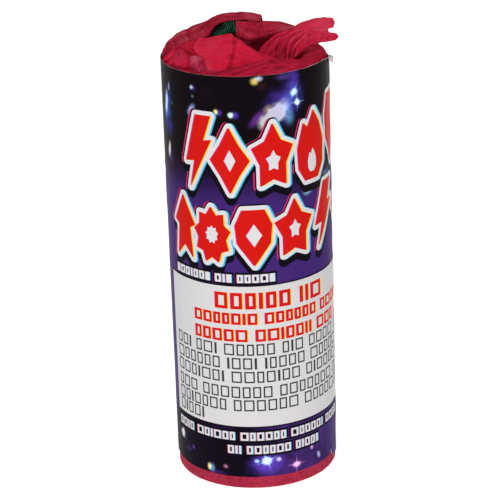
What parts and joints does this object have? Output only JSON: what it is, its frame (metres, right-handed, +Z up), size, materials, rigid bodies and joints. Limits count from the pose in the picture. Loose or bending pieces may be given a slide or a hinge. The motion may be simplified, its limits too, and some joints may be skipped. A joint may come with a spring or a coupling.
{
  "type": "ground strobe firework",
  "caption": "Upright paper tube firework with a printed label, a tissue wrap that folds open at the top, and a bent fuse beneath it.",
  "frame": {"origin": "middle of the flat underside, where the folded tissue rests", "axes": "+Z up the tube, -Y towards the label's front, +X to the right of the front"},
  "size_m": [0.0397, 0.0384, 0.1078],
  "materials": {
    "card": "matte",
    "clay": "matte",
    "filling": "matte",
    "starter": "matte",
    "glue": "satin",
    "fuse_thread": "satin",
    "fuse_powder": "matte",
    "tissue": "matte",
    "label_paper": "gloss"
  },
  "bodies": {
    "wrapped_tube": {"paper_tube": "card", "base_disc": "card", "clay_plug": "clay", "strobe_filling": "filling", "starter_layer": "starter", "fuse_disc": "card", "fuse_seal": "glue", "fuse_jacket": "fuse_thread", "fuse_core": "fuse_powder", "tissue_base_fold": "tissue", "tissue_sleeve": "tissue", "tissue_rim_fold": "tissue", "tissue_inner_panel": "tissue", "tissue_back_fold": "tissue", "label": "label_paper"},
    "hood": {"tissue_hood": "tissue"},
    "fuse_tip": {"fuse_tip_jacket": "fuse_thread", "fuse_tip_core": "fuse_powder"},
    "front_flap": {"tissue_front_flap": "tissue"},
    "tail": {"tissue_tail": "tissue"}
  },
  "joints": [
    {"name": "hood_open", "type": "hinge", "parent": "wrapped_tube", "child": "hood", "pos_m": [-0.0076, 0.0163, 0.0998], "axis": [-0.9061, -0.423, 0], "range_deg": [0, 105]},
    {"name": "fuse_unbend", "type": "hinge", "parent": "wrapped_tube", "child": "fuse_tip", "pos_m": [-0.00245, 0.005, 0.1063], "axis": [0, 1, 0], "range_deg": [0, 75]},
    {"name": "flap_open", "type": "hinge", "parent": "wrapped_tube", "child": "front_flap", "pos_m": [-0.0053, -0.0147, 0.0998], "axis": [0.9397, -0.3419, 0], "range_deg": [0, 110]},
    {"name": "tail_lift", "type": "hinge", "parent": "wrapped_tube", "child": "tail", "pos_m": [0.0061, -0.0046, 0.1002], "axis": [0.721, -0.693, 0], "range_deg": [0, 60]}
  ],
  "couplings": [
    {"joint": "fuse_unbend", "follows": "hood_open", "ratio": 0.71429}
  ]
}
